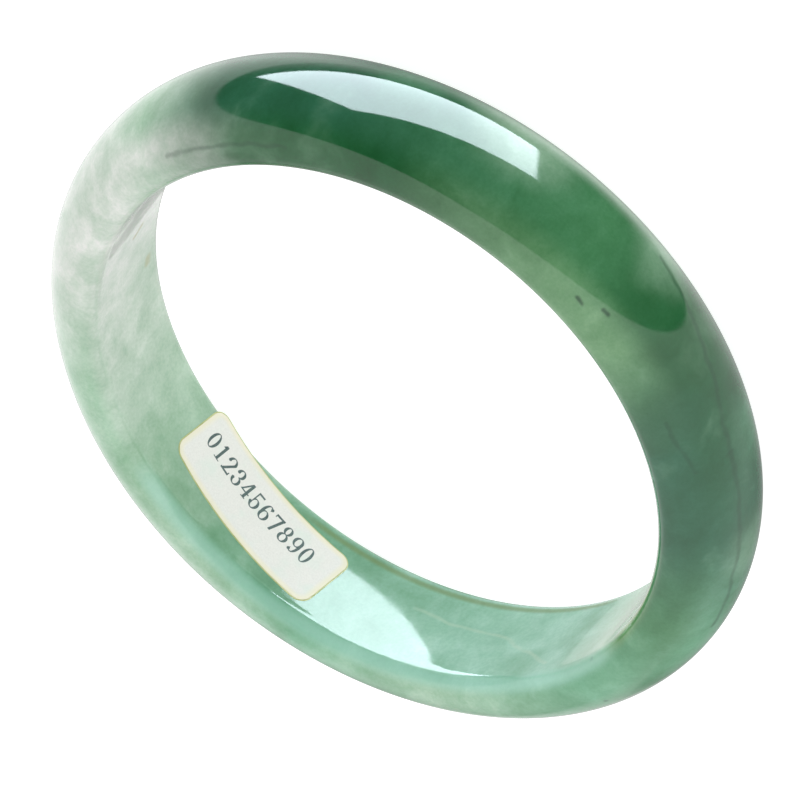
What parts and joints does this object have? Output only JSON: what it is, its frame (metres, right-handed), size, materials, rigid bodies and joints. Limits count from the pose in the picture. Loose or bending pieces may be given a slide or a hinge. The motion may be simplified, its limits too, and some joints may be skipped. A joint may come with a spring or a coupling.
{
  "type": "bangle bracelet",
  "caption": "Solid stone bangle with an oval outer section, a straight inner wall with rounded edges, and a small stock label stuck inside.",
  "frame": {"origin": "centre of the wrist bore on the plane that the bangle rests on", "axes": "+Z along the bore axis, up with the bangle lying flat; +X through the middle of the label"},
  "size_m": [0.0692, 0.0692, 0.0124],
  "materials": {
    "stone": "polished jadeite, translucent, mottled pale to deep green",
    "adhesive": "yellowed pressure-sensitive adhesive",
    "paper": "smooth satin label paper",
    "ink": "matte printing ink"
  },
  "bodies": {
    "root": {"bangle_ring": "stone", "label_adhesive": "adhesive", "label_paper": "paper", "label_digits": "ink"}
  },
  "joints": []
}
